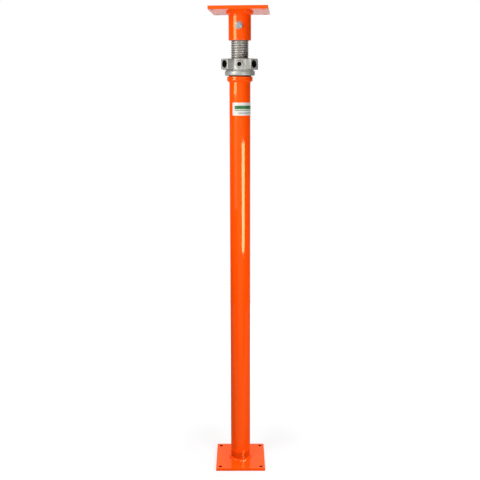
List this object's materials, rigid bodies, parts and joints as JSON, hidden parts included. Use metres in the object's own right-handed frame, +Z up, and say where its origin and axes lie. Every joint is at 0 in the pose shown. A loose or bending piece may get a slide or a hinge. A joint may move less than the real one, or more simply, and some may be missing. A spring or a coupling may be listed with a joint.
{
  "type": "adjustable steel prop",
  "caption": "Tubular steel post with a base plate, a cast turning nut and a screw that raises a bolted head plate to hold up a load.",
  "frame": {"origin": "on the ground under the middle of the base plate", "axes": "+Z up along the post; -Y is the front, where the cross bolt's head shows; +X to the right of the front"},
  "size_m": [0.1732, 0.1732, 1.3764],
  "materials": {
    "orange_enamel": "glossy orange enamel over steel",
    "nut_casting": "zinc-coated casting, matte silver grey",
    "screw_steel": "plated thread with grey-brown valleys",
    "zinc_fastener": "bright bluish zinc plate",
    "washer_steel": "dark oiled steel",
    "label_film": "cream film with plain green and grey bars"
  },
  "bodies": {
    "post": {"base_plate": "orange_enamel", "base_weld": "orange_enamel", "post_tube": "orange_enamel", "bearing_collar": "orange_enamel", "collar_weld": "orange_enamel", "label": "label_film", "thrust_washer": "washer_steel"},
    "nut": {"adjusting_nut": "nut_casting"},
    "head": {"screw": "screw_steel", "stop_pin": "zinc_fastener", "head_socket": "orange_enamel", "head_weld": "orange_enamel", "head_plate": "orange_enamel", "cross_bolt": "zinc_fastener", "bolt_washers": "zinc_fastener", "lock_nut": "zinc_fastener"}
  },
  "joints": [
    {"name": "nut_spin", "type": "hinge", "parent": "post", "child": "nut", "pos_m": [0, 0, 1.19494], "axis": [0, 0, 1], "range_deg": [-11880, 2775]},
    {"name": "screw_lift", "type": "slide", "parent": "post", "child": "head", "axis": [0, 0, 1], "range_m": [-0.0491, 0.2097]}
  ],
  "couplings": [
    {"joint": "screw_lift", "follows": "nut_spin", "m_per_rad": -0.0010106}
  ]
}
